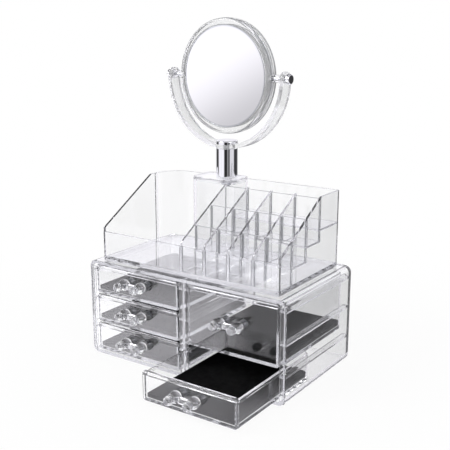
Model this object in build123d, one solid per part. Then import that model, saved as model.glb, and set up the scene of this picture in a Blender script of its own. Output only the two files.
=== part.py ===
from build123d import *
import os

# Clear makeup organizer: a casing with five drawers, a cosmetics tray that lifts off it,
# and a mirror on a post. Millimetres. X to the right, Y to the back, Z up; the origin is the
# middle of the casing's flat underside.

# Casing
CASE_WIDTH = 240.0
CASE_DEPTH = 134.0
CASE_HEIGHT = 104.0
CASE_WALL = 3.2
CASE_FLOOR = 4.0
CASE_CORNER = 7.0
RIM_WIDTH = 3.0
RIM_DEPTH = 4.0
BACK_THICK = 3.0
DIVIDER_THICK = 3.0
DIVIDER_X = 1.9
PLATFORM_HEIGHT = 1.5
SOFT_EDGE = 0.8
OVERCUT = 1.0

# Drawers
UNITS_HIGH = 3
PANEL_SIDE_GAP = 0.7
PANEL_GAP = 2.2
PANEL_THICK = 2.6
PANEL_CORNER = 3.0
PANEL_OVERHANG = 1.6
DRAWER_REAR_GAP = 0.5
BOX_DROP = 3.0
BOX_WALL = 1.8
BOX_FLOOR = 3.0
BOX_CORNER = 8.0
FLANGE_WIDTH = 1.4
FLANGE_THICK = 2.2
LIP_DEPTH = 4.0
CLOSED = 0.0
PULL_OUT = 69.0
LINER_THICK = 5.0
LINER_GAP = 0.4

# Rails that the drawer flanges hang on
RAIL_HEIGHT = 3.2
RAIL_NOSE = 1.5
RAIL_SIDE_GAP = 0.4
RUN_GAP = 0.3

# Handles
HANDLE_RAISE = 1.8
POST_PITCH = 21.0
BEAD_R = 5.8
BEAD_LENGTH = 11.2
NECK_R = 3.4
BALL_R = 4.5
BALL_LENGTH = 7.8
NOSE_R = 2.6
BRIDGE_REACH = 8.5
BRIDGE_END = 6.0
BRIDGE_WAIST = 4.4
BRIDGE_HEIGHT = 4.8
PEG_R = 2.0
PEG_STICK = 5.0
CAP_R = 4.2
CAP_LENGTH = 7.0

# Cosmetics tray
TRAY_SIDE_INSET = 12.0
TRAY_END_INSET = 7.0
TRAY_WALL = 2.5
TRAY_FLOOR = 3.0
TRAY_REAR_RISE = 75.5
TRAY_FRONT_RISE = 26.5
TRAY_SLOPE_STEP = 3.7
TRAY_CORNER = 3.8
TRAY_ROUND_CORNER = 30.0
RIB_Y = 27.4
RIB_WIDTH = 2.4
RIB_DEPTH = 2.0
SKIRT_GAP = 0.3
SKIRT_PLAY = 0.4
REST_GAP = 0.1

# Lipstick block in the tray
LIPSTICK_COLUMNS = 4
CELL_WIDTH = 25.7
FRONT_ROW_LESS = 2.9
CELL_WALL = 2.2
CELL_FLOOR = 2.0
ROW_TWO_RISE = 17.0
ROW_THREE_RISE = 31.5
SHELF_RISE = 43.0
DIVIDER_NOSE = 3.0
WALL_DROP = 0.6

# Mirror stand
STAND_WIDTH = 54.0
STAND_DEPTH = 35.7
STAND_HEIGHT = 79.0
STAND_WALL = 2.5
STAND_CORNER = 8.0
STAND_OVERLAP = 8.3
STAND_PLAY = 0.6
STAND_CAP = 3.0
STAND_LIP = 2.0
POST_OFFSET_X = 7.8
POST_OFFSET_Y = 1.0

# Post under the yoke
TUBE_R = 11.5
TUBE_WALL = 1.5
TUBE_LENGTH = 30.9
TUBE_SPIGOT = 4.0
BUSH_LENGTH = 8.0
ROD_R = 3.0
ROD_TAIL = 2.0
NUT_FLATS = 10.0
NUT_HEIGHT = 5.0
COLLAR_R = 11.5
COLLAR_HEIGHT = 3.8
COLLAR_BORE = 2.4
COLLAR_EDGE = 1.2

# Yoke
YOKE_GAP = 11.0
YOKE_THICK = 4.6
YOKE_BREADTH = 14.5
YOKE_FOOT_R = 11.5
YOKE_FOOT_HEIGHT = 4.6
SWIVEL_GAP = 0.1
YOKE_TURN_DEG = -3.6

# Mirror
MIRROR_R = 59.6
MIRROR_RIM = 7.4
MIRROR_THICK = 13.0
MIRROR_BEVEL = 3.0
GLASS_THICK = 2.0
GLASS_SINK = 1.0
SPACER_R = 4.0
SPACER_SEAT = 4.0
PIVOT_PIN_R = 1.5
PIVOT_GAP = 0.4
PIVOT_CAP_R = 5.2
PIVOT_CAP_LENGTH = 4.2
PIN_IN_CAP = 3.0

# Fits
BOND_LINE = 0.05
RUN_FIT = 0.05

# Casing levels and columns
FRONT_Y = -CASE_DEPTH / 2
REAR_Y = CASE_DEPTH / 2
CEILING_Z = CASE_HEIGHT - CASE_WALL
BACK_FACE_Y = REAR_Y - BACK_THICK
WALL_X = CASE_WIDTH / 2 - CASE_WALL
UNIT_HEIGHT = (CEILING_Z - CASE_FLOOR) / UNITS_HIGH
DIVIDER_LEFT = DIVIDER_X - DIVIDER_THICK / 2
DIVIDER_RIGHT = DIVIDER_X + DIVIDER_THICK / 2
PANEL_INSET = RIM_WIDTH + PANEL_SIDE_GAP
LEFT_COLUMN = (-WALL_X, DIVIDER_LEFT)
RIGHT_COLUMN = (DIVIDER_RIGHT, WALL_X)
BOTTOM, MIDDLE, TOP = range(UNITS_HIGH)
DRAWER_LENGTH = CASE_DEPTH - BACK_THICK - DRAWER_REAR_GAP

# Each drawer: its column, its lowest and highest unit, and how far it stands open
DRAWERS = {
    "left_top": (LEFT_COLUMN, TOP, TOP, CLOSED),
    "left_middle": (LEFT_COLUMN, MIDDLE, MIDDLE, CLOSED),
    "left_bottom": (LEFT_COLUMN, BOTTOM, BOTTOM, CLOSED),
    "right_tall": (RIGHT_COLUMN, MIDDLE, TOP, CLOSED),
    "right_low": (RIGHT_COLUMN, BOTTOM, BOTTOM, PULL_OUT),
}

# Tray levels and outline
TRAY_X = CASE_WIDTH / 2 - TRAY_SIDE_INSET
TRAY_Y = CASE_DEPTH / 2 - TRAY_END_INSET
TRAY_INNER_X = TRAY_X - TRAY_WALL
TRAY_INNER_Y = TRAY_Y - TRAY_WALL
TRAY_SEAT_Z = CASE_HEIGHT + PLATFORM_HEIGHT
TRAY_FLOOR_Z = TRAY_SEAT_Z + TRAY_FLOOR
TRAY_TOP_Z = TRAY_FLOOR_Z + TRAY_REAR_RISE
TRAY_FRONT_Z = TRAY_FLOOR_Z + TRAY_FRONT_RISE

# Rows of the lipstick block: they fill the tray from its front wall back to the mirror stand
ROW_FLOORS = (TRAY_FLOOR_Z, TRAY_FLOOR_Z + ROW_TWO_RISE, TRAY_FLOOR_Z + ROW_THREE_RISE)
BLOCK_REAR_Y = TRAY_INNER_Y - STAND_DEPTH - 2 * STAND_PLAY
ROW_DEPTH = (BLOCK_REAR_Y + TRAY_INNER_Y + FRONT_ROW_LESS) / len(ROW_FLOORS) - CELL_WALL
ROW_DEPTHS = (ROW_DEPTH - FRONT_ROW_LESS, ROW_DEPTH, ROW_DEPTH)
CELL_PITCH = CELL_WIDTH + CELL_WALL
BLOCK_LEFT_X = TRAY_INNER_X - LIPSTICK_COLUMNS * CELL_PITCH

# Mirror stand, post and mirror axes
STAND_RIGHT = BLOCK_LEFT_X + STAND_OVERLAP
STAND_LEFT = STAND_RIGHT - STAND_WIDTH
STAND_REAR = TRAY_INNER_Y - STAND_PLAY
STAND_FRONT = STAND_REAR - STAND_DEPTH
STAND_TOP_Z = TRAY_FLOOR_Z + STAND_HEIGHT
POST_X = (STAND_LEFT + STAND_RIGHT) / 2 + POST_OFFSET_X
POST_Y = (STAND_FRONT + STAND_REAR) / 2 + POST_OFFSET_Y
TUBE_TOP_Z = STAND_TOP_Z + TUBE_LENGTH
GLASS_R = MIRROR_R - MIRROR_RIM
YOKE_INNER_R = MIRROR_R + YOKE_GAP
YOKE_OUTER_R = YOKE_INNER_R + YOKE_THICK
YOKE_BASE_Z = TUBE_TOP_Z + SWIVEL_GAP
PIVOT_Z = YOKE_BASE_Z + YOKE_OUTER_R
COLLAR_Z = YOKE_BASE_Z + YOKE_FOOT_HEIGHT + SWIVEL_GAP


def block(x0, x1, y0, y1, z0, z1):
    """A box between two corners."""
    return Pos((x0 + x1) / 2, (y0 + y1) / 2, (z0 + z1) / 2) * Box(x1 - x0, y1 - y0, z1 - z0)


def upright_prism(x0, x1, y0, y1, z0, z1, radius):
    """A rounded rectangle seen from above, raised from z0 to z1."""
    plan = Pos((x0 + x1) / 2, (y0 + y1) / 2, z0) * RectangleRounded(x1 - x0, y1 - y0, radius)
    return extrude(plan, amount=z1 - z0)


def fore_aft_prism(x0, x1, z0, z1, y0, y1, radius):
    """A rounded rectangle seen from the front, running from y0 back to y1."""
    outline = Pos((x0 + x1) / 2, (z0 + z1) / 2) * RectangleRounded(x1 - x0, z1 - z0, radius)
    return extrude(Plane.XZ.offset(-y0) * outline, amount=y0 - y1)


def rear_rounded(x0, x1, y0, y1, z0, z1, radius):
    """A box between two corners, with its two rear upright edges rounded."""
    body = block(x0, x1, y0, y1, z0, z1)
    return fillet(body.edges().filter_by(Axis.Z).group_by(Axis.Y)[-1], radius)


def tray_plan(inset):
    """The tray's outline seen from above, drawn in by inset."""
    x = TRAY_X - inset
    y = TRAY_Y - inset
    plan = Rectangle(2 * x, 2 * y)
    corners = plan.vertices().sort_by_distance((-x, y))
    plan = fillet(corners[1:], TRAY_CORNER - inset)
    return fillet(plan.vertices().sort_by_distance((-x, y))[0], TRAY_ROUND_CORNER - inset)


def tray_prism(inset, z0, z1):
    """The tray's outline, drawn in by inset and raised from z0 to z1."""
    return extrude(Pos(0, 0, z0) * tray_plan(inset), amount=z1 - z0)


def column_panel(column):
    """The left and right edges of the drawer fronts in a column."""
    return column[0] + PANEL_INSET, column[1] - PANEL_INSET


def unit_panel(lowest, highest):
    """The bottom and top edges of a drawer front that covers the units from lowest to highest."""
    bottom = CASE_FLOOR + lowest * UNIT_HEIGHT
    top = CASE_FLOOR + (highest + 1) * UNIT_HEIGHT
    return bottom + PANEL_GAP / 2, top - PANEL_GAP / 2


def slope_z(y):
    """Height of the sloped top edge that the tray's sides and dividers share."""
    start_y = -TRAY_INNER_Y
    start_z = TRAY_FRONT_Z + TRAY_SLOPE_STEP
    return start_z + (TRAY_TOP_Z - start_z) * (y - start_y) / (BLOCK_REAR_Y - start_y)


# Casing


def casing_shell():
    """The sleeve round the drawers, with its thicker front sides and the step that the tray sits over."""
    half = CASE_WIDTH / 2
    shell = fore_aft_prism(-half, half, 0, CASE_HEIGHT, FRONT_Y, REAR_Y, CASE_CORNER)
    front_edges = shell.edges().group_by(Axis.Y)[0]
    shell = fillet(front_edges, SOFT_EDGE)
    inner_corner = CASE_CORNER - CASE_WALL
    shell -= fore_aft_prism(-WALL_X, WALL_X, CASE_FLOOR, CEILING_Z,
                            FRONT_Y - OVERCUT, REAR_Y + OVERCUT, inner_corner)
    for side in (-1, 1):
        inner = side * (WALL_X - RIM_WIDTH)
        outer = side * (WALL_X + CASE_WALL / 2)
        rim = block(min(inner, outer), max(inner, outer), FRONT_Y + SOFT_EDGE, FRONT_Y + RIM_DEPTH,
                    CASE_FLOOR / 2, CEILING_Z + CASE_WALL / 2)
        shell += rim
    return shell + tray_prism(TRAY_WALL + SKIRT_PLAY, CASE_HEIGHT - CASE_WALL / 2, TRAY_SEAT_Z)


def back_panel():
    """The plate cemented into the rear of the sleeve."""
    gap = BOND_LINE
    return fore_aft_prism(-WALL_X + gap, WALL_X - gap, CASE_FLOOR + gap, CEILING_Z - gap,
                          BACK_FACE_Y, REAR_Y, CASE_CORNER - CASE_WALL - gap)


def centre_divider():
    """The upright plate between the columns, with the same thicker front as the casing's sides."""
    low = CASE_FLOOR + BOND_LINE
    high = CEILING_Z - BOND_LINE
    plate = block(DIVIDER_LEFT, DIVIDER_RIGHT, FRONT_Y + SOFT_EDGE, BACK_FACE_Y - BOND_LINE, low, high)
    rim = block(DIVIDER_LEFT - RIM_WIDTH, DIVIDER_RIGHT + RIM_WIDTH,
                FRONT_Y + SOFT_EDGE, FRONT_Y + RIM_DEPTH, low, high)
    return plate + rim


def rail_strip(wall_face, towards, panel_top):
    """One rail on an upright face, reaching towards -1 (left) or 1 (right) under a drawer's flange."""
    top = panel_top - BOX_DROP - FLANGE_THICK - RUN_GAP
    reach = PANEL_INSET + PANEL_OVERHANG - RAIL_SIDE_GAP
    near = wall_face + towards * BOND_LINE
    far = wall_face + towards * reach
    strip = block(min(near, far), max(near, far), FRONT_Y + RIM_DEPTH + BOND_LINE, BACK_FACE_Y - BOND_LINE,
                  top - RAIL_HEIGHT, top)
    return fillet(strip.edges().filter_by(Axis.X).group_by(Axis.Y)[0], RAIL_NOSE)


def rails(faces):
    """A rail under every unit on each of the given upright faces."""
    strips = []
    for unit in range(UNITS_HIGH):
        panel_top = unit_panel(unit, unit)[1]
        for wall_face, towards in faces:
            strips.append(rail_strip(wall_face, towards, panel_top))
    return Compound(children=strips)


# Drawers


def post_centres(column, lowest, highest):
    """The X of a handle's two posts and the Z of both, a little above the front's middle."""
    x0, x1 = column_panel(column)
    z0, z1 = unit_panel(lowest, highest)
    middle = (x0 + x1) / 2
    return (middle - POST_PITCH / 2, middle + POST_PITCH / 2), (z0 + z1) / 2 + HANDLE_RAISE


def along_y(x, y0, y1, z, radius):
    """A round bar from y0 back to y1."""
    return Pos(x, (y0 + y1) / 2, z) * Rot(90, 0, 0) * Cylinder(radius, y1 - y0)


def drawer_box(column, lowest, highest, pulled):
    """A clear drawer: front panel, open box behind it, flanges at the sides and a lip behind the front."""
    x0, x1 = column_panel(column)
    z0, z1 = unit_panel(lowest, highest)
    front = FRONT_Y - pulled
    back = front + PANEL_THICK
    rear = front + DRAWER_LENGTH
    panel = fore_aft_prism(x0, x1, z0, z1, front, back, PANEL_CORNER)
    panel = fillet(panel.edges().group_by(Axis.Y)[0], SOFT_EDGE)
    box_x0 = x0 + PANEL_OVERHANG
    box_x1 = x1 - PANEL_OVERHANG
    top = z1 - BOX_DROP
    body = rear_rounded(box_x0, box_x1, back, rear, z0, top, BOX_CORNER)
    body -= rear_rounded(box_x0 + BOX_WALL, box_x1 - BOX_WALL, back, rear - BOX_WALL, z0 + BOX_FLOOR, top,
                         BOX_CORNER - BOX_WALL)
    straight = rear - BOX_CORNER
    for side, edge in ((-1, box_x0), (1, box_x1)):
        inner = edge - side * BOX_WALL / 2
        outer = edge + side * FLANGE_WIDTH
        body += block(min(inner, outer), max(inner, outer), back, straight, top - FLANGE_THICK, top)
    body += block(box_x0, box_x1, back, back + LIP_DEPTH, top - FLANGE_THICK, top)
    box = panel + body
    centres, z = post_centres(column, lowest, highest)
    for x in centres:
        box -= along_y(x, front - OVERCUT, back + OVERCUT, z, PEG_R + BOND_LINE)
    return box


def handle(column, lowest, highest, pulled):
    """Two posts, each a bead with a smaller ball before it, a waisted bridge, and pegs through the front."""
    centres, z = post_centres(column, lowest, highest)
    front = FRONT_Y - pulled
    tip = BEAD_LENGTH + BALL_LENGTH
    outline = Line((0, 0), (NECK_R, 0))
    outline += ThreePointArc((NECK_R, 0), (BEAD_R, BEAD_LENGTH / 2), (NECK_R, BEAD_LENGTH))
    outline += ThreePointArc((NECK_R, BEAD_LENGTH), (BALL_R, BEAD_LENGTH + BALL_LENGTH / 2), (NOSE_R, tip))
    outline += Polyline((NOSE_R, tip), (0, tip), (0, 0))
    post = Rot(0, 0, 180) * revolve(make_face(outline), Axis.Y)
    reach = front - BRIDGE_REACH
    middle = sum(centres) / 2
    sides = [Line((x, reach - BRIDGE_END / 2), (x, reach + BRIDGE_END / 2)) for x in centres]
    for way in (-1, 1):
        end_y = reach + way * BRIDGE_END / 2
        waist_y = reach + way * BRIDGE_WAIST / 2
        sides.append(ThreePointArc((centres[0], end_y), (middle, waist_y), (centres[1], end_y)))
    grip = extrude(Pos(0, 0, z) * make_face(sides), amount=BRIDGE_HEIGHT / 2, both=True)
    for x in centres:
        grip += Pos(x, front - BOND_LINE, z) * post
        grip += along_y(x, front - BEAD_LENGTH / 2, front + PANEL_THICK + PEG_STICK, z, PEG_R)
    return grip


def peg_caps(column, lowest, highest, pulled):
    """The two caps pushed on the handle's pegs inside the drawer."""
    centres, z = post_centres(column, lowest, highest)
    back = FRONT_Y - pulled + PANEL_THICK + BOND_LINE
    caps = []
    for x in centres:
        cap = along_y(x, back, back + CAP_LENGTH, z, CAP_R)
        cap = fillet(cap.edges().group_by(Axis.Y)[-1], SOFT_EDGE)
        cap -= along_y(x, back - OVERCUT, back + PEG_STICK + BOND_LINE, z, PEG_R + BOND_LINE)
        caps.append(cap)
    return Compound(children=caps)


def liner(column, lowest, highest, pulled):
    """The thick dark pad on a drawer's floor."""
    x0, x1 = column_panel(column)
    inset = PANEL_OVERHANG + BOX_WALL + LINER_GAP
    floor = unit_panel(lowest, highest)[0] + BOX_FLOOR
    front = FRONT_Y - pulled
    return rear_rounded(x0 + inset, x1 - inset, front + PANEL_THICK + LINER_GAP,
                        front + DRAWER_LENGTH - BOX_WALL - LINER_GAP, floor + BOND_LINE, floor + LINER_THICK,
                        BOX_CORNER - BOX_WALL - LINER_GAP)


# Cosmetics tray


def tray_shell():
    """The tray's walls with sloped sides and a rib, and a floor with a skirt round the casing's step."""
    shell = tray_prism(0, CASE_HEIGHT + SKIRT_GAP, TRAY_TOP_Z)
    shell -= tray_prism(TRAY_WALL, TRAY_FLOOR_Z, TRAY_TOP_Z + OVERCUT)
    shell -= tray_prism(TRAY_WALL, CASE_HEIGHT, TRAY_SEAT_Z + REST_GAP)
    shell += block(-TRAY_INNER_X - TRAY_WALL / 2, -TRAY_INNER_X + RIB_DEPTH, RIB_Y - RIB_WIDTH / 2,
                   RIB_Y + RIB_WIDTH / 2, TRAY_FLOOR_Z - TRAY_FLOOR / 2, TRAY_TOP_Z)
    outside = -CASE_DEPTH
    above = TRAY_TOP_Z + CASE_DEPTH
    inner = -TRAY_INNER_Y
    cut = Polyline((outside, TRAY_FRONT_Z), (inner, TRAY_FRONT_Z), (inner, slope_z(inner)),
                   (BLOCK_REAR_Y, TRAY_TOP_Z), (BLOCK_REAR_Y, above), (outside, above), close=True)
    return shell - extrude(Plane.YZ * make_face(cut), amount=CASE_WIDTH, both=True)


def lipstick_dividers():
    """The sloped plates between the columns of the lipstick block."""
    front = -TRAY_INNER_Y + BOND_LINE
    low = TRAY_FLOOR_Z + BOND_LINE
    profile = make_face(Polyline((front, low), (BLOCK_REAR_Y, low), (BLOCK_REAR_Y, slope_z(BLOCK_REAR_Y)),
                                 (front, slope_z(front)), close=True))
    nose = profile.vertices().sort_by_distance((front, slope_z(front)))[0]
    profile = fillet(nose, DIVIDER_NOSE)
    plates = []
    for column in range(LIPSTICK_COLUMNS):
        left = BLOCK_LEFT_X + column * CELL_PITCH
        plates.append(extrude(Plane.YZ.offset(left) * profile, amount=CELL_WALL))
    return Compound(children=plates)


def cell_sides(column):
    """The left and right limits of the plates between two dividers."""
    left = BLOCK_LEFT_X + column * CELL_PITCH + CELL_WALL
    return left + BOND_LINE, left + CELL_WIDTH - BOND_LINE


def row_front(row):
    """The front of a row's clear space."""
    return -TRAY_INNER_Y + sum(ROW_DEPTHS[:row]) + row * CELL_WALL


def lipstick_cross_walls():
    """The walls behind each row, rising towards the back."""
    walls = []
    for column in range(LIPSTICK_COLUMNS):
        x0, x1 = cell_sides(column)
        for row, floor in enumerate(ROW_FLOORS):
            y0 = row_front(row) + ROW_DEPTHS[row]
            top = slope_z(y0) - WALL_DROP
            walls.append(block(x0, x1, y0, y0 + CELL_WALL, floor + BOND_LINE, top))
    return Compound(children=walls)


def lipstick_floors():
    """The raised floors of the second and third rows, each under the wall behind it."""
    floors = []
    for column in range(LIPSTICK_COLUMNS):
        x0, x1 = cell_sides(column)
        for row in (1, 2):
            y0 = row_front(row) + BOND_LINE
            top = ROW_FLOORS[row]
            floors.append(block(x0, x1, y0, row_front(row + 1), top - CELL_FLOOR, top))
    return Compound(children=floors)


def rear_shelf():
    """The raised floor behind the lipstick block, to the right of the mirror stand."""
    top = TRAY_FLOOR_Z + SHELF_RISE
    shelf = block(STAND_RIGHT + STAND_PLAY, TRAY_INNER_X - BOND_LINE, BLOCK_REAR_Y + BOND_LINE,
                  TRAY_INNER_Y - BOND_LINE, top - CELL_FLOOR, top)
    rear_corner = shelf.edges().filter_by(Axis.Z).sort_by_distance((TRAY_X, TRAY_Y, top))[0]
    return fillet(rear_corner, SOFT_EDGE)


# Mirror stand and post


def stand_prism(inset, z0, z1):
    """The stand's outline, drawn in by inset."""
    return upright_prism(STAND_LEFT + inset, STAND_RIGHT - inset, STAND_FRONT + inset, STAND_REAR - inset,
                         z0, z1, STAND_CORNER - inset)


def on_post(z0, z1, radius):
    """A round piece on the post's axis."""
    return Pos(POST_X, POST_Y, (z0 + z1) / 2) * Cylinder(radius, z1 - z0)


def stand_block():
    """The hollow clear block that stands in the tray."""
    top = STAND_TOP_Z - STAND_CAP - BOND_LINE
    outside = stand_prism(0, TRAY_FLOOR_Z + REST_GAP, top)
    return outside - stand_prism(STAND_WALL, TRAY_FLOOR_Z - OVERCUT, top + OVERCUT)


def stand_cap():
    """The block's lid, with a lip inside the block and a spigot inside the tube."""
    under = STAND_TOP_Z - STAND_CAP
    cap = stand_prism(0, under, STAND_TOP_Z)
    cap = fillet(cap.edges().group_by(Axis.Z)[-1], SOFT_EDGE)
    lip_inset = STAND_WALL + BOND_LINE
    lip = stand_prism(lip_inset, under - STAND_LIP, under)
    cap += lip - stand_prism(lip_inset + STAND_LIP, under - STAND_CAP, under)
    cap += on_post(STAND_TOP_Z - STAND_CAP / 2, STAND_TOP_Z + TUBE_SPIGOT, TUBE_R - TUBE_WALL - BOND_LINE)
    return cap - on_post(under - OVERCUT, STAND_TOP_Z + TUBE_SPIGOT + OVERCUT, ROD_R + BOND_LINE)


def post_tube():
    """The polished tube between the stand and the yoke."""
    tube = on_post(STAND_TOP_Z + BOND_LINE, TUBE_TOP_Z, TUBE_R)
    return tube - on_post(STAND_TOP_Z - OVERCUT, TUBE_TOP_Z + OVERCUT, TUBE_R - TUBE_WALL)


def swivel_bush():
    """The plug in the tube's top that the yoke turns on."""
    bush = on_post(TUBE_TOP_Z - BUSH_LENGTH, TUBE_TOP_Z, TUBE_R - TUBE_WALL - BOND_LINE)
    return bush - on_post(TUBE_TOP_Z - BUSH_LENGTH - OVERCUT, TUBE_TOP_Z + OVERCUT, ROD_R + BOND_LINE)


def post_rod():
    """The rod that clamps cap, tube and collar together."""
    tail = STAND_TOP_Z - STAND_CAP - NUT_HEIGHT - ROD_TAIL
    return on_post(tail, COLLAR_Z + COLLAR_BORE - BOND_LINE, ROD_R)


def post_nut():
    """The nut under the cap."""
    top = STAND_TOP_Z - STAND_CAP - BOND_LINE
    hexagon = Pos(POST_X, POST_Y, top - NUT_HEIGHT) * RegularPolygon(NUT_FLATS / 2, 6, major_radius=False)
    nut = extrude(hexagon, amount=NUT_HEIGHT)
    return nut - on_post(top - NUT_HEIGHT - OVERCUT, top + OVERCUT, ROD_R + BOND_LINE)


def post_collar():
    """The polished collar above the yoke's foot, blind over the rod's end."""
    collar = on_post(COLLAR_Z, COLLAR_Z + COLLAR_HEIGHT, COLLAR_R)
    collar = fillet(collar.edges().group_by(Axis.Z)[-1], COLLAR_EDGE)
    return collar - on_post(COLLAR_Z - OVERCUT, COLLAR_Z + COLLAR_BORE, ROD_R + BOND_LINE)


# Yoke and mirror


def at_pivot(shape):
    """Move a shape from the origin to the mirror's centre, turned with the yoke."""
    return Pos(POST_X, POST_Y, PIVOT_Z) * Rot(0, 0, YOKE_TURN_DEG) * shape


def along_x(x0, x1, radius):
    """A round bar on the pivots' axis, from x0 to x1 either side of the mirror's centre."""
    return Pos((x0 + x1) / 2, 0, 0) * Rot(0, 90, 0) * Cylinder(radius, abs(x1 - x0))


def yoke():
    """The flat band bent to a half circle, with rounded arm ends, pivot holes and a foot on the post."""
    arm_end = YOKE_BREADTH / 2
    band = Circle(YOKE_OUTER_R) - Circle(YOKE_INNER_R)
    band &= Pos(0, -YOKE_OUTER_R / 2) * Rectangle(2 * YOKE_OUTER_R, YOKE_OUTER_R)
    middle_r = YOKE_INNER_R + YOKE_THICK / 2
    for side in (-1, 1):
        band += Pos(side * middle_r, arm_end / 2) * Rectangle(YOKE_THICK, arm_end)
    bent = extrude(Plane.XZ * band, amount=YOKE_BREADTH / 2, both=True)
    bent = fillet(bent.edges().filter_by(Axis.X).group_by(Axis.Z)[-1], arm_end - BOND_LINE)
    bent -= along_x(-YOKE_OUTER_R - OVERCUT, YOKE_OUTER_R + OVERCUT, PIVOT_PIN_R + RUN_FIT)
    foot = on_post(YOKE_BASE_Z, YOKE_BASE_Z + YOKE_FOOT_HEIGHT, YOKE_FOOT_R)
    below = on_post(YOKE_BASE_Z - YOKE_THICK, YOKE_BASE_Z, YOKE_OUTER_R)
    above = on_post(YOKE_BASE_Z + YOKE_FOOT_HEIGHT, PIVOT_Z, YOKE_FOOT_R)
    whole = at_pivot(bent) + foot
    whole -= below
    whole -= above
    return whole - on_post(YOKE_BASE_Z - OVERCUT, COLLAR_Z, ROD_R + RUN_FIT)


def mirror_half(side):
    """One half of the clear frame, a dish for the glass with a rounded rim: side -1 in front, 1 behind."""
    split = side * BOND_LINE
    face = side * MIRROR_THICK / 2
    seat = face - side * (GLASS_THICK + GLASS_SINK + BOND_LINE)
    seat_r = GLASS_R + BOND_LINE
    flat_r = MIRROR_R - MIRROR_BEVEL
    shoulder = (MIRROR_R - MIRROR_BEVEL * 0.3, side * MIRROR_THICK * 0.35)
    outline = Polyline((0, seat), (0, split), (MIRROR_R, split))
    outline += ThreePointArc((MIRROR_R, split), shoulder, (flat_r, face))
    outline += Polyline((flat_r, face), (seat_r, face), (seat_r, seat), (0, seat))
    dish = revolve(make_face(outline), Axis.Y)
    for x in (-MIRROR_R, MIRROR_R):
        inner = x - SPACER_SEAT if x > 0 else x + SPACER_SEAT
        dish -= along_x(min(inner, 2 * x), max(inner, 2 * x), SPACER_R + BOND_LINE)
    return at_pivot(dish)


def mirror_glass(side):
    """A silvered disc let into one half of the frame."""
    face = side * (MIRROR_THICK / 2 - GLASS_SINK)
    back = face - side * GLASS_THICK
    return at_pivot(along_y(0, min(face, back), max(face, back), 0, GLASS_R))


def both_sides(piece):
    """A piece on the right pivot and its mirror image on the left."""
    return Compound(children=[at_pivot(piece), at_pivot(mirror(piece, Plane.YZ))])


def pivot_spacers():
    """The clear sleeves let into the frame's rim, reaching to the yoke's arms."""
    start = MIRROR_R - SPACER_SEAT + BOND_LINE
    end = YOKE_INNER_R - PIVOT_GAP
    sleeve = along_x(start, end, SPACER_R)
    return both_sides(sleeve - along_x(start - OVERCUT, end + OVERCUT, PIVOT_PIN_R + BOND_LINE))


def pivot_pins():
    """The pins that turn in the yoke's arms."""
    start = MIRROR_R - SPACER_SEAT + BOND_LINE
    end = YOKE_OUTER_R + PIVOT_GAP + PIN_IN_CAP
    return both_sides(along_x(start, end - BOND_LINE, PIVOT_PIN_R))


def pivot_caps():
    """The polished caps on the pins' outer ends."""
    start = YOKE_OUTER_R + PIVOT_GAP
    cap = along_x(start, start + PIVOT_CAP_LENGTH, PIVOT_CAP_R)
    cap = fillet(cap.edges().group_by(Axis.X)[-1], COLLAR_EDGE)
    return both_sides(cap - along_x(start - OVERCUT, start + PIN_IN_CAP, PIVOT_PIN_R + BOND_LINE))


def all_nodes():
    """Every node's name and its solids."""
    nodes = {
        "casing_shell": casing_shell(),
        "back_panel": back_panel(),
        "centre_divider": centre_divider(),
        "wall_rails": rails(((-WALL_X, 1), (WALL_X, -1))),
        "divider_rails": rails(((DIVIDER_LEFT, -1), (DIVIDER_RIGHT, 1))),
        "tray_shell": tray_shell(),
        "lipstick_dividers": lipstick_dividers(),
        "lipstick_cross_walls": lipstick_cross_walls(),
        "lipstick_floors": lipstick_floors(),
        "rear_shelf": rear_shelf(),
        "stand_block": stand_block(),
        "stand_cap": stand_cap(),
        "post_tube": post_tube(),
        "swivel_bush": swivel_bush(),
        "post_rod": post_rod(),
        "post_nut": post_nut(),
        "post_collar": post_collar(),
        "yoke": yoke(),
        "mirror_front_frame": mirror_half(-1),
        "mirror_rear_frame": mirror_half(1),
        "front_mirror": mirror_glass(-1),
        "rear_mirror": mirror_glass(1),
        "pivot_spacers": pivot_spacers(),
        "pivot_pins": pivot_pins(),
        "pivot_caps": pivot_caps(),
    }
    for name, place in DRAWERS.items():
        nodes[name + "_drawer"] = drawer_box(*place)
        nodes[name + "_handle"] = handle(*place)
        nodes[name + "_peg_caps"] = peg_caps(*place)
        nodes[name + "_liner"] = liner(*place)
    return nodes


os.makedirs("parts", exist_ok=True)
for node, shape in all_nodes().items():
    export_step(shape, f"parts/{node}.step")
print(f"post axis x {POST_X:.3f} y {POST_Y:.3f}, pivot z {PIVOT_Z:.3f}")
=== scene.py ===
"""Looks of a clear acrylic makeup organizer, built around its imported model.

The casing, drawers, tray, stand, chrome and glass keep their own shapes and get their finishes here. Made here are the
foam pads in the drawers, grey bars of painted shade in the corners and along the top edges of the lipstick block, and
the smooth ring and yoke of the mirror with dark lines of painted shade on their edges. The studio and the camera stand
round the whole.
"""

import logging
import math
from dataclasses import dataclass
from enum import Enum
from functools import cache
from typing import Callable, Dict, List, Optional, Tuple

import bpy
from mathutils import Matrix, Vector

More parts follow.
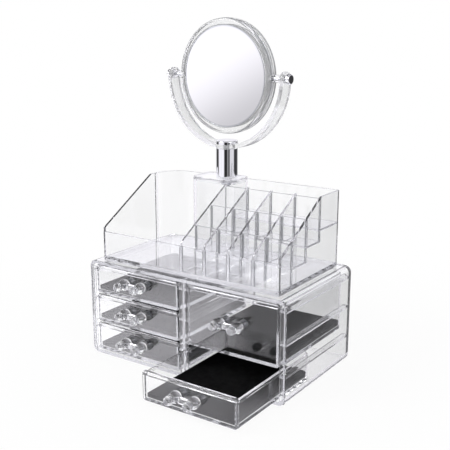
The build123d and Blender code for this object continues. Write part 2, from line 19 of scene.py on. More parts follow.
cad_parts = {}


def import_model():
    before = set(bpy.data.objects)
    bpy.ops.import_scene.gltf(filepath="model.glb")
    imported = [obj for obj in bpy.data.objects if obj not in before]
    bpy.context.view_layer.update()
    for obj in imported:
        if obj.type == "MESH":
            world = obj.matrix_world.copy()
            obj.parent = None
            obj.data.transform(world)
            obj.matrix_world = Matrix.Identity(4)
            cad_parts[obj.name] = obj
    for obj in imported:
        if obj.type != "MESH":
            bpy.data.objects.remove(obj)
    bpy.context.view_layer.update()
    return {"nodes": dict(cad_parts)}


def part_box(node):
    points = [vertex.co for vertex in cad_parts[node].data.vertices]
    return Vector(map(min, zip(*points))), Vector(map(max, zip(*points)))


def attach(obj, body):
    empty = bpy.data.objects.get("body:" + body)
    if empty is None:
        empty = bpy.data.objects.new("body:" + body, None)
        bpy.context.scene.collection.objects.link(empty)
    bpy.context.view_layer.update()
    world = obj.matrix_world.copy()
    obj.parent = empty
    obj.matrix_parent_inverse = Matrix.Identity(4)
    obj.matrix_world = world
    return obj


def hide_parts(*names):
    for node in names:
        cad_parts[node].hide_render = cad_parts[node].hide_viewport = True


LOG = logging.getLogger("organizer")
MM = 0.001
TOUCH = 1e-6
FULL_TURN = 360.0
CAMERA_TURN = 34.28
ROUND_STEPS = 96
EDGE_STEPS = 3
EDGE_ANGLE = 1.0
SMOOTH_ANGLE = 0.7

Colour = Tuple[float, float, float]
Place = Tuple[float, float, float]
Span = Tuple[float, float]
Band = Tuple[float, float, float]
Bar = Tuple[Vector, Vector]
Names = Tuple[str, ...]
Piece = bpy.types.Object
Material = bpy.types.Material
Tree = bpy.types.NodeTree
Socket = bpy.types.NodeSocket


class Body(Enum):
    """The moving bodies of the organizer that new pieces ride on."""

    LEFT_TOP = "left_top"
    LEFT_MIDDLE = "left_middle"
    LEFT_BOTTOM = "left_bottom"
    RIGHT_TALL = "right_tall"
    RIGHT_LOW = "right_low"
    TRAY = "tray"
    YOKE = "yoke"
    MIRROR = "mirror"


DRAWERS = (Body.LEFT_TOP, Body.LEFT_MIDDLE, Body.LEFT_BOTTOM, Body.RIGHT_TALL, Body.RIGHT_LOW)


class Slot(Enum):
    """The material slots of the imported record."""

    CLEAR_ACRYLIC = "clear_acrylic"
    LINER = "liner"
    CHROME = "chrome"
    STEEL = "steel"
    BUSH = "bush"
    MIRROR = "mirror"


def opaque(colour: Colour) -> Tuple[float, float, float, float]:
    """The colour with a full alpha."""
    return (*colour, 1.0)


def empty_tree(owner: bpy.types.ID) -> Tree:
    """Clears the node tree of a material or a world and returns it."""
    owner.use_nodes = True
    owner.node_tree.nodes.clear()
    return owner.node_tree


class NodeBoard:
    """Adds nodes to one tree and joins them."""

    def __init__(self, tree: Tree) -> None:
        """Takes the node tree of a material, a world or a group."""
        self.tree = tree

    def add(self, kind: str, **settings: object) -> bpy.types.Node:
        """Adds one node.

        Args:
            kind: Blender's name of the node type.
            settings: properties to set on it.

        Returns:
            The new node.
        """
        node = self.tree.nodes.new(kind)
        for name, value in settings.items():
            setattr(node, name, value)
        return node

    def join(self, source: Socket, target: Socket) -> None:
        """Joins an output to an input."""
        self.tree.links.new(source, target)

    def feed(self, value: object, target: Socket) -> None:
        """Joins a socket to an input, or sets a plain value on it."""
        if isinstance(value, Socket):
            self.join(value, target)
        else:
            target.default_value = value

    def wire(self, node: bpy.types.Node, **inputs: object) -> bpy.types.Node:
        """Feeds some inputs of a node by name and returns the node."""
        for name, value in inputs.items():
            self.feed(value, node.inputs[name])
        return node

    def maths(self, operation: str, *values: object) -> Socket:
        """Adds a Math node.

        Args:
            operation: Blender's name of the operation.
            values: sockets or plain numbers, in the node's order.

        Returns:
            The result's socket.
        """
        node = self.add("ShaderNodeMath", operation=operation)
        for place, value in enumerate(values):
            self.feed(value, node.inputs[place])
        return node.outputs[0]

    def times(self, product: object, *values: object) -> Socket:
        """Multiplies sockets or plain numbers and returns the product's socket."""
        for value in values:
            product = self.maths("MULTIPLY", product, value)
        return product

    def spread(self, value: Socket, span: Span, to_low: object = 0.0, to_high: object = 1.0) -> Socket:
        """Maps a value smoothly from one range to another.

        Args:
            value: the value to map.
            span: where the first range starts and ends.
            to_low: the result at the start, a number or a socket.
            to_high: the result at the end, a number or a socket.

        Returns:
            The mapped value's socket.
        """
        node = self.add("ShaderNodeMapRange", interpolation_type="SMOOTHSTEP")
        labels = ("Value", "From Min", "From Max", "To Min", "To Max")
        self.wire(node, **dict(zip(labels, (value, *span, to_low, to_high))))
        return node.outputs["Result"]

    def noise(self, where: Socket, scale: object, detail: float, roughness: float = 0.5) -> Socket:
        """Adds a noise texture and returns its value's socket."""
        node = self.add("ShaderNodeTexNoise")
        self.wire(node, Vector=where, Scale=scale, Detail=detail, Roughness=roughness)
        return node.outputs["Fac"]

    def length(self, where: Socket) -> Socket:
        """Measures a vector and returns its length's socket."""
        node = self.add("ShaderNodeVectorMath", operation="LENGTH")
        self.join(where, node.inputs[0])
        return node.outputs["Value"]

    def blend(self, mask: Socket, first: Colour, second: Colour) -> Socket:
        """Mixes two colours by a mask and returns the colour's socket."""
        node = self.add("ShaderNodeMix", data_type="RGBA")
        self.join(mask, node.inputs[0])
        node.inputs[6].default_value = opaque(first)
        node.inputs[7].default_value = opaque(second)
        return node.outputs[2]

    def overlay(self, share: Socket, under: Socket, over: Socket) -> Socket:
        """Mixes a shader over another by a share and returns the mix's socket."""
        node = self.add("ShaderNodeMixShader")
        for place, source in enumerate((share, under, over)):
            self.join(source, node.inputs[place])
        return node.outputs[0]


class GroupMaker:
    """Builds the shared surface effects once each, as node groups."""

    def start(
        self, name: str, inputs: Names = ("Scale",), outputs: Names = ("Height", "Tone")
    ) -> Tuple[NodeBoard, bpy.types.Node, bpy.types.Node]:
        """Makes an empty group that takes a vector and some values.

        Args:
            name: the group's name.
            inputs: the names of the values that it takes.
            outputs: the names of the values that it gives.

        Returns:
            A board on the group's tree, the node of its inputs and the node of its outputs.
        """
        tree = bpy.data.node_groups.new(name, "ShaderNodeTree")
        tree.interface.new_socket("Vector", in_out="INPUT", socket_type="NodeSocketVector")
        for direction, labels in (("INPUT", inputs), ("OUTPUT", outputs)):
            for label in labels:
                tree.interface.new_socket(label, in_out=direction, socket_type="NodeSocketFloat")
        board = NodeBoard(tree)
        return board, board.add("NodeGroupInput"), board.add("NodeGroupOutput")

    @cache
    def moulded_flow(self) -> Tree:
        """The slow ripples that moulding leaves in clear plastic.

        Returns:
            The group, with outputs Height and Tone.
        """
        board, given, result = self.start("moulded_flow")
        where, scale = given.outputs[:2]
        fine_ratio, fine_height = 5.0, 0.15
        slow = board.noise(where, scale, detail=1.0)
        fine = board.noise(where, board.times(scale, fine_ratio), detail=2.0)
        height = board.maths("MULTIPLY_ADD", fine, fine_height, slow)
        board.wire(result, Height=height, Tone=board.spread(slow, (0.3, 0.7)))
        return board.tree

    @cache
    def handling_film(self) -> Tree:
        """The faint film of dust and touch that dulls a polished face here and there.

        Returns:
            The group, with output Roughness.
        """
        board, given, result = self.start("handling_film", ("Scale", "Clean", "Dull"), ("Roughness",))
        where, scale, clean, dull = given.outputs[:4]
        patches = board.noise(where, scale, detail=4.0, roughness=0.6)
        board.wire(result, Roughness=board.spread(patches, (0.5, 0.75), clean, dull))
        return board.tree

    @cache
    def foam_cells(self) -> Tree:
        """The small open cells of foam, with slow soft swells under them.

        Returns:
            The group, with outputs Height and Tone.
        """
        board, given, result = self.start("foam_cells")
        where, scale = given.outputs[:2]
        swell_ratio, swell_height = 0.12, 0.6
        voronoi = board.add("ShaderNodeTexVoronoi", feature="F1")
        cells = board.wire(voronoi, Vector=where, Scale=scale).outputs["Distance"]
        swells = board.noise(where, board.times(scale, swell_ratio), detail=2.0)
        height = board.maths("MULTIPLY_ADD", swells, swell_height, cells)
        # Tone is lowest in the cells' pits and where the swells are low: painted shade in the hollows, with random
        # tone.
        board.wire(result, Height=height, Tone=board.spread(board.times(cells, swells), (0.1, 0.4)))
        return board.tree

    @cache
    def drawn_grain(self) -> Tree:
        """The fine lines that drawing or turning leaves on metal, running along Z.

        Returns:
            The group, with outputs Height and Tone.
        """
        board, given, result = self.start("drawn_grain")
        stretch = board.add("ShaderNodeMapping")
        board.wire(stretch, Vector=given.outputs["Vector"], Scale=(1.0, 1.0, 0.03))
        lines = board.noise(stretch.outputs["Vector"], given.outputs["Scale"], detail=3.0)
        board.wire(result, Height=lines, Tone=board.spread(lines, (0.35, 0.65)))
        return board.tree


GROUPS = GroupMaker()


class MaterialBench:
    """One material being made: its board, its coordinates and its main shader."""

    def __init__(self, name: str) -> None:
        """Makes an empty material with a Principled shader.

        Args:
            name: the material's name.
        """
        self.material = bpy.data.materials.new(name)
        self.board = NodeBoard(empty_tree(self.material))
        self.output = self.board.add("ShaderNodeOutputMaterial")
        self.shader = self.board.add("ShaderNodeBsdfPrincipled")
        self.board.join(self.shader.outputs["BSDF"], self.output.inputs["Surface"])
        self.where = self.board.add("ShaderNodeTexCoord").outputs["Object"]

    def place(self, tree: Tree, **values: float) -> bpy.types.Node:
        """Places a shared effect with its own values by name and returns its node."""
        node = self.board.add("ShaderNodeGroup", node_tree=tree)
        return self.board.wire(node, Vector=self.where, **values)

    def put(self, socket: str, value: object) -> None:
        """Feeds or sets one socket of the main shader."""
        self.board.feed(value, self.shader.inputs[socket])

    def film(self, scale: float, clean: float, dull: float) -> None:
        """Takes the roughness from a film of handling, clean in most places and dull in patches."""
        node = self.place(GROUPS.handling_film(), Scale=scale, Clean=clean, Dull=dull)
        self.put("Roughness", node.outputs["Roughness"])

    def bump(self, height: Socket, strength: float, distance: float) -> None:
        """Turns a height into the shader's normal, by how much of it shows and its full range in metres."""
        node = self.board.wire(self.board.add("ShaderNodeBump"), Height=height, Strength=strength, Distance=distance)
        self.put("Normal", node.outputs["Normal"])


@dataclass(frozen=True)
class AcrylicFinish:
    """Clear moulded acrylic: bright through its thickness and grey along its edges."""

    name: str
    slot: Slot = Slot.CLEAR_ACRYLIC
    tint: Colour = (0.992, 0.994, 0.997)
    streak: Colour = (0.998, 0.998, 0.999)
    haze: float = 0.008
    refraction: float = 1.49
    clean: float = 0.0
    dull: float = 0.03
    film_scale: float = 26.0
    ripple_scale: float = 14.0
    ripple: float = 0.03
    ripple_height: float = 0.8 * MM
    depth_colour: Colour = (0.10, 0.12, 0.15)
    depth: float = 3.5

    def material(self) -> Material:
        """Makes the finish's material and returns it."""
        bench = MaterialBench(self.name)
        flow = bench.place(GROUPS.moulded_flow(), Scale=self.ripple_scale)
        bench.film(self.film_scale, self.clean, self.dull)
        bench.put("Base Color", bench.board.blend(flow.outputs["Tone"], self.tint, self.streak))
        bench.put("IOR", self.refraction)
        bench.put("Transmission Weight", 1.0 - self.haze)
        bench.bump(flow.outputs["Height"], self.ripple, self.ripple_height)
        depth = bench.board.add("ShaderNodeVolumeAbsorption")
        bench.board.wire(depth, Color=opaque(self.depth_colour), Density=self.depth)
        bench.board.wire(bench.output, Volume=depth.outputs["Volume"])
        return bench.material


@dataclass(frozen=True)
class PlatedFinish:
    """Polished bright metal with fine drawn lines and a faint film of handling."""

    name: str
    slot: Slot
    bright: Colour
    shade: Colour
    clean: float = 0.03
    dull: float = 0.09
    film_scale: float = 60.0
    grain_scale: float = 700.0
    grain: float = 0.02
    grain_height: float = 0.1 * MM

    def material(self) -> Material:
        """Makes the finish's material and returns it."""
        bench = MaterialBench(self.name)
        lines = bench.place(GROUPS.drawn_grain(), Scale=self.grain_scale)
        bench.film(self.film_scale, self.clean, self.dull)
        bench.put("Base Color", bench.board.blend(lines.outputs["Tone"], self.bright, self.shade))
        bench.put("Metallic", 1.0)
        bench.bump(lines.outputs["Height"], self.grain, self.grain_height)
        return bench.material


@dataclass(frozen=True)
class SilveredFinish:
    """Mirror silver behind clear glass, with painted shade that makes it a little greyer towards the edge of the
    glass.
    """

    name: str
    centre: Place
    radius: float
    slot: Slot = Slot.MIRROR
    bright: Colour = (0.99, 0.99, 0.99)
    rim_shade: Colour = (0.72, 0.74, 0.76)
    rim_start: float = 2.2 * MM
    rim_end: float = 0.4 * MM
    clean: float = 0.0
    dull: float = 0.025
    film_scale: float = 35.0

    def material(self) -> Material:
        """Makes the finish's material and returns it."""
        bench = MaterialBench(self.name)
        board = bench.board
        shift = board.add("ShaderNodeMapping")
        board.wire(shift, Vector=bench.where, Location=tuple(-value for value in self.centre))
        out = board.length(shift.outputs["Vector"])
        # Painted shade: the silver turns greyer towards the edge of the glass.
        rim_shade_mask = board.spread(out, (self.radius - self.rim_start, self.radius - self.rim_end))
        bench.film(self.film_scale, self.clean, self.dull)
        bench.put("Base Color", board.blend(rim_shade_mask, self.bright, self.rim_shade))
        bench.put("Metallic", 1.0)
        return bench.material


@dataclass(frozen=True)
class FoamFinish:
    """Black open-celled foam, a little darker in its cell pits by painted shade and by random tone."""

    name: str
    slot: Slot = Slot.LINER
    pit_shade: Colour = (0.0035, 0.0035, 0.0038)
    cell_rim_tone: Colour = (0.009, 0.009, 0.0095)
    deep_roughness: float = 1.0
    worn_roughness: float = 0.9
    sheen: float = 0.05
    cell_scale: float = 1100.0
    relief: float = 0.5
    relief_height: float = 0.3 * MM

    def material(self) -> Material:
        """Makes the finish's material and returns it."""
        bench = MaterialBench(self.name)
        cells = bench.place(GROUPS.foam_cells(), Scale=self.cell_scale)
        tone = cells.outputs["Tone"]
        # The pits take the darker colour as painted shade.
        bench.put("Base Color", bench.board.blend(tone, self.pit_shade, self.cell_rim_tone))
        bench.put("Roughness", bench.board.spread(tone, (0.0, 1.0), self.deep_roughness, self.worn_roughness))
        bench.put("Specular IOR Level", self.sheen)
        bench.bump(cells.outputs["Height"], self.relief, self.relief_height)
        return bench.material


@dataclass(frozen=True)
class MouldedFinish:
    """Plain white moulded plastic, as of a bush."""

    name: str
    slot: Slot = Slot.BUSH
    light: Colour = (0.82, 0.83, 0.83)
    dark: Colour = (0.74, 0.75, 0.76)
    clean: float = 0.35
    dull: float = 0.5
    film_scale: float = 90.0
    ripple_scale: float = 120.0
    ripple: float = 0.05
    ripple_height: float = 0.4 * MM

    def material(self) -> Material:
        """Makes the finish's material and returns it."""
        bench = MaterialBench(self.name)
        flow = bench.place(GROUPS.moulded_flow(), Scale=self.ripple_scale)
        bench.film(self.film_scale, self.clean, self.dull)
        bench.put("Base Color", bench.board.blend(flow.outputs["Tone"], self.light, self.dark))
        bench.bump(flow.outputs["Height"], self.ripple, self.ripple_height)
        return bench.material


def set_mode(mode: str) -> None:
    """Changes the active object's mode."""
    bpy.ops.object.mode_set(mode=mode)


def deselect() -> None:
    """Leaves object mode with nothing selected."""
    if bpy.context.object is not None and bpy.context.object.mode != "OBJECT":
        set_mode("OBJECT")
    bpy.ops.object.select_all(action="DESELECT")


def settle(piece: Piece) -> None:
    """Puts a piece's place into its mesh, so that its object sits at the origin."""
    deselect()
    piece.select_set(True)
    bpy.context.view_layer.objects.active = piece
    bpy.ops.object.transform_apply(location=True, rotation=True, scale=True)


def merge(pieces: List[Piece]) -> Piece:
    """Joins several pieces into one that sits at the origin, and returns it."""
    deselect()
    for piece in pieces:
        piece.select_set(True)
    bpy.context.view_layer.objects.active = pieces[0]
    bpy.ops.object.join()
    merged = bpy.context.active_object
    settle(merged)
    return merged


def pick_points(piece: Piece, wanted: Callable[[Vector], bool]) -> None:
    """Selects the points of the active piece that are wanted, and leaves it in edit mode.

    Args:
        piece: the active piece.
        wanted: tells from a point's place whether to select it.
    """
    set_mode("EDIT")
    bpy.ops.mesh.select_all(action="DESELECT")
    set_mode("OBJECT")
    for point in piece.data.vertices:
        point.select = wanted(point.co)
    set_mode("EDIT")


def add_modifier(piece: Piece, kind: str, **settings: object) -> None:
    """Adds a modifier and applies it.

    Args:
        piece: the object to change.
        kind: Blender's name of the modifier.
        settings: properties to set on it.
    """
    bpy.context.view_layer.objects.active = piece
    modifier = piece.modifiers.new(kind.lower(), kind)
    for name, value in settings.items():
        setattr(modifier, name, value)
    bpy.ops.object.modifier_apply(modifier=modifier.name)


def soften(piece: Piece, width: float, **settings: object) -> None:
    """Rounds the sharp edges of a piece by a bevel with a width and further settings."""
    add_modifier(
        piece, "BEVEL", width=width, segments=EDGE_STEPS, limit_method="ANGLE", angle_limit=EDGE_ANGLE, **settings
    )


def cut(piece: Piece, tool: Piece, operation: str = "DIFFERENCE") -> None:
    """Cuts a piece with a tool, or joins the tool to it by another operation, and takes the tool away."""
    add_modifier(piece, "BOOLEAN", object=tool, operation=operation, solver="EXACT")
    bpy.data.objects.remove(tool)


def cylinder(radius: float, length: float, place: Place, along_x: bool) -> Piece:
    """Adds a cylinder.

    Args:
        radius: its radius.
        length: its length.
        place: its middle.
        along_x: True to lay it along X, False to stand it along Z.

    Returns:
        The cylinder.
    """
    deselect()
    turn = (0.0, math.pi / 2, 0.0) if along_x else (0.0, 0.0, 0.0)
    bpy.ops.mesh.primitive_cylinder_add(
        vertices=ROUND_STEPS, radius=radius, depth=length, location=place, rotation=turn
    )
    return bpy.context.active_object


def stand(data: bpy.types.ID, place: Place, aim: Vector) -> Piece:
    """Stands a lamp or camera at a place, looking along a direction, and returns its object."""
    standing = bpy.data.objects.new(data.name, data)
    bpy.context.scene.collection.objects.link(standing)
    standing.matrix_world = Matrix.Translation(place) @ aim.to_track_quat("-Z", "Y").to_matrix().to_4x4()
    return standing


class Dresser:
    """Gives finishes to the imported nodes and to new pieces, each material made once."""

    def __init__(self, nodes: Dict[str, Piece]) -> None:
        """Takes the frame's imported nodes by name."""
        self.nodes = nodes

    @cache
    def material(self, finish: object) -> Material:
        """The finish's material, made on first use."""
        return finish.material()

    def dress(self, piece: Piece, finish: object) -> None:
        """Puts one finish all over a piece."""
        piece.data.materials.clear()
        piece.data.materials.append(self.material(finish))
        LOG.info("dressed %s in %s", piece.name, finish.name)

    def lay_out(self, piece: Piece, finish: object, edge: object) -> None:
        """Gives a piece a finish for its faces and a second one for the edges that are bevelled next."""
        self.dress(piece, finish)
        piece.data.materials.append(self.material(edge))

    def dress_nodes(self, names: Names, finish: object) -> None:
        """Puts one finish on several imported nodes, which keep their own smooth normals."""
        for name in names:
            self.dress(self.nodes[name], finish)


CASING_CLEAR = AcrylicFinish("casing_acrylic")
DRAWER_CLEAR = AcrylicFinish("drawer_acrylic")
CRYSTAL_CLEAR = AcrylicFinish("handle_crystal", haze=0.005, refraction=1.55, depth=8.0)
TRAY_CLEAR = AcrylicFinish("tray_acrylic")
MIRROR_CLEAR = AcrylicFinish("mirror_acrylic", haze=0.24, refraction=1.35)
# Grey bars of painted shade for the dark lines at the lipstick block's corners.
CORNER_SHADE = AcrylicFinish("cement_bead", tint=(0.55, 0.56, 0.59), streak=(0.72, 0.73, 0.75), haze=0.35)
YOKE_CLEAR = AcrylicFinish(
    "yoke_acrylic", tint=(0.965, 0.967, 0.972), streak=(0.985, 0.986, 0.99), haze=0.22, refraction=1.35
)
# Grey painted shade for the dark edge lines of the clear yoke.
YOKE_EDGE_SHADE = AcrylicFinish("yoke_edge", tint=(0.52, 0.53, 0.55), streak=(0.62, 0.63, 0.65), haze=0.9, dull=0.3)
# Grey painted shade for the thin dark outlines of the clear mirror ring.
RING_SHADE_LINE = AcrylicFinish("mould_line", tint=(0.27, 0.28, 0.30), streak=(0.36, 0.37, 0.39), haze=0.85, dull=0.3)
# Grey painted shade for the dark top edges of the lipstick block's walls.
TOP_EDGE_SHADE = AcrylicFinish("sawn_edge", tint=(0.45, 0.46, 0.49), streak=(0.55, 0.56, 0.59), haze=0.6, dull=0.3)
CAP_SMOKY = AcrylicFinish("cap_smoky", tint=(0.30, 0.31, 0.34), streak=(0.45, 0.46, 0.49), depth=320.0)
CHROME = PlatedFinish("chrome_plate", Slot.CHROME, bright=(0.90, 0.905, 0.92), shade=(0.84, 0.845, 0.86))
STEEL = PlatedFinish(
    "drawn_steel", Slot.STEEL, bright=(0.64, 0.65, 0.67), shade=(0.52, 0.53, 0.55), clean=0.22, dull=0.36
)
BUSH_WHITE = MouldedFinish("bush_white")
BLACK_FOAM = FoamFinish("black_foam")


@dataclass
class Casing:
    """The sleeve, its back, divider and rails."""

    clear: Names = ("casing_shell", "back_panel", "centre_divider", "wall_rails", "divider_rails")

    def dress(self, dresser: Dresser) -> None:
        """Gives the casing its clear finish."""
        dresser.dress_nodes(self.clear, CASING_CLEAR)


@dataclass
class Drawer:
    """One drawer: a clear box, a crystal handle and a foam pad on its floor."""

    body: Body
    front_corner: float = 1.2 * MM
    rear_corner: float = 5.8 * MM
    corner_steps: int = 6
    edge_round: float = 0.9 * MM
    unevenness: float = 0.25 * MM
    evening: float = 0.4
    seed: int = 7
    fill: float = 0.95
    cells_across: int = 18
    cells_along: int = 22

    def node(self, part: str) -> str:
        """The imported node's name of one part of this drawer."""
        return f"{self.body.value}_{part}"

    def dress(self, dresser: Dresser) -> None:
        """Gives the box, handle and caps their finishes and lays the pad."""
        for part, finish in (("drawer", DRAWER_CLEAR), ("handle", CRYSTAL_CLEAR), ("peg_caps", CAP_SMOKY)):
            dresser.dress_nodes((self.node(part),), finish)
        dresser.dress(self.lay_pad(), BLACK_FOAM)

    def lay_pad(self) -> Piece:
        """Models the foam pad on the drawer's floor.

        Returns:
            The pad, riding on the drawer.
        """
        low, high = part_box(self.node("liner"))
        width, length, thick = high - low
        deselect()
        bpy.ops.mesh.primitive_grid_add(
            x_subdivisions=self.cells_across, y_subdivisions=self.cells_along, size=1.0, location=(0, 0, 0)
        )
        pad = bpy.context.active_object
        pad.name = self.node("foam_pad")
        pad.data.name = pad.name
        set_mode("EDIT")
        bpy.ops.mesh.select_all(action="SELECT")
        bpy.ops.transform.resize(value=(width, length, 1.0))
        for end, radius in ((-1, self.front_corner), (1, self.rear_corner)):
            self.round_corners(pad, (width / 2, length / 2), end, radius)
        set_mode("OBJECT")
        add_modifier(pad, "SOLIDIFY", thickness=thick - 2 * self.unevenness, offset=1.0, use_even_offset=True)
        self.roughen_top(pad)
        soften(pad, self.edge_round)
        add_modifier(pad, "SUBSURF", levels=1, render_levels=1)
        bpy.ops.object.shade_smooth_by_angle(angle=SMOOTH_ANGLE)
        pad.location = ((low.x + high.x) / 2, (low.y + high.y) / 2, low.z)
        settle(pad)
        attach(pad, self.body.value)
        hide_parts(self.node("liner"))
        LOG.info("laid %s, %.1f by %.1f by %.1f mm", pad.name, width / MM, length / MM, thick / MM)
        return pad

    def round_corners(self, pad: Piece, half: Span, end: int, radius: float) -> None:
        """Rounds the two corners of the flat pad at its front end, -1, or its rear end, 1, from its half sizes."""
        pick_points(pad, lambda place: abs(place.x) > half[0] - TOUCH and end * place.y > half[1] - TOUCH)
        bpy.ops.mesh.bevel(offset=radius, segments=self.corner_steps, affect="VERTICES")

    def roughen_top(self, pad: Piece) -> None:
        """Gives the pad's upper face the slight unevenness of cut foam."""
        margin = self.rear_corner + MM
        far_x, far_y, top = (max(point.co[axis] for point in pad.data.vertices) for axis in range(3))
        inner_x, inner_y = far_x - margin, far_y - margin
        pick_points(pad, lambda place: abs(place.x) < inner_x and abs(place.y) < inner_y and place.z > top - TOUCH)
        bpy.ops.transform.vertex_random(offset=self.unevenness, uniform=0.0, normal=1.0, seed=self.seed)
        bpy.ops.mesh.vertices_smooth(factor=self.evening, repeat=1, xaxis=False, yaxis=False, zaxis=True)
        set_mode("OBJECT")


@dataclass
class CosmeticsTray:
    """The tray on top with its lipstick block and shelf."""

    clear: Names = ("tray_shell", "lipstick_dividers", "lipstick_cross_walls", "lipstick_floors", "rear_shelf")

    def dress(self, dresser: Dresser) -> None:
        """Gives the tray its clear finish."""
        dresser.dress_nodes(self.clear, TRAY_CLEAR)


@dataclass(frozen=True)
class CellWall:
    """One row of cross walls: the front face's place and the heights of both feet and of the top."""

    front: float
    front_foot: float
    rear_foot: Optional[float]
    top: float


@dataclass
class LipstickTrim:
    """Grey bars of painted shade in the block's corners and along the top edges of its walls, where the clear walls
    seen along their thickness look dark.
    """

    left: float = -6.1 * MM
    pitch: float = 27.9 * MM
    thick: float = 2.2 * MM
    columns: int = 4
    play: float = 0.06 * MM
    bead: float = 0.9 * MM
    bead_round: float = 0.3 * MM
    edge: float = 0.16 * MM
    edge_round: float = 0.05 * MM
    round_steps: int = 2
    tray_front: float = -57.5 * MM
    tray_floor: float = 108.5 * MM
    tray_front_top: float = 134.4 * MM
    rows: Tuple[CellWall, ...] = (
        CellWall(-35.6 * MM, 108.5 * MM, 125.5 * MM, 150.8 * MM),
        CellWall(-8.6 * MM, 125.5 * MM, 140.0 * MM, 166.46 * MM),
        CellWall(18.4 * MM, 140.0 * MM, None, 182.12 * MM),
    )

    def build(self, dresser: Dresser) -> None:
        """Makes the beads and the edges and gives them their finishes."""
        beads: List[Bar] = []
        edges: List[Bar] = []
        for column in range(self.columns):
            divider = self.left + column * self.pitch
            start, end = divider + self.thick + self.play, divider + self.pitch - self.play
            for side in (start, end - self.bead):
                for row in self.rows:
                    beads += self.corner(side, row)
            for row in self.rows:
                low = Vector((start, row.front, row.top + self.play / 2))
                edges.append((low, Vector((end, row.front + self.thick, row.top + self.edge))))
            for side in (divider - self.play - self.bead, divider + self.thick + self.play):
                beads.append(self.upright(side, self.tray_front + self.play, self.tray_floor, self.tray_front_top))
        # Both sets of bars are painted shade: grey where the clear walls look dark.
        dresser.dress(self.bars("lipstick_cement_beads", beads, self.bead_round), CORNER_SHADE)
        dresser.dress(self.bars("lipstick_sawn_edges", edges, self.edge_round), TOP_EDGE_SHADE)

    def upright(self, side: float, front: float, foot: float, top: float) -> Bar:
        """The lowest and highest corner of an upright bead, from its left side, front, floor and top."""
        return Vector((side, front, foot + self.play)), Vector((side + self.bead, front + self.bead, top))

    def corner(self, side: float, row: CellWall) -> List[Bar]:
        """The beads at one end of a cross wall, before and behind it.

        Args:
            side: the beads' left side.
            row: the cross wall.

        Returns:
            Each bead's lowest and highest corner.
        """
        top = row.top - self.bead / 2
        found = [self.upright(side, row.front - self.play - self.bead, row.front_foot, top)]
        if row.rear_foot is not None:
            found.append(self.upright(side, row.front + self.thick + self.play, row.rear_foot, top))
        return found

    def bars(self, name: str, boxes: List[Bar], rounding: float) -> Piece:
        """Makes one piece of slim bars with rounded edges.

        Args:
            name: the piece's name.
            boxes: each bar's lowest and highest corner.
            rounding: the edges' radius.

        Returns:
            The piece, riding on the tray.
        """
        made: List[Piece] = []
        for low, high in boxes:
            deselect()
            bpy.ops.mesh.primitive_cube_add(size=1.0, location=(low + high) / 2, scale=high - low)
            made.append(bpy.context.active_object)
        piece = merge(made)
        piece.name = name
        piece.data.name = name
        add_modifier(piece, "BEVEL", width=rounding, segments=self.round_steps, limit_method="NONE")
        bpy.ops.object.shade_smooth_by_angle(angle=SMOOTH_ANGLE)
        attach(piece, Body.TRAY.value)
        return piece


@dataclass
class MirrorStand:
    """The clear stand in the tray with its chrome post."""

    clear: Names = ("stand_block", "stand_cap")
    chrome: Names = ("post_tube", "post_collar")
    steel: Names = ("post_rod", "post_nut")
    bush: Names = ("swivel_bush",)

    def dress(self, dresser: Dresser) -> None:
        """Gives the stand's parts their finishes."""
        dresser.dress_nodes(self.clear, TRAY_CLEAR)
        dresser.dress_nodes(self.chrome, CHROME)
        dresser.dress_nodes(self.steel, STEEL)
        dresser.dress_nodes(self.bush, BUSH_WHITE)


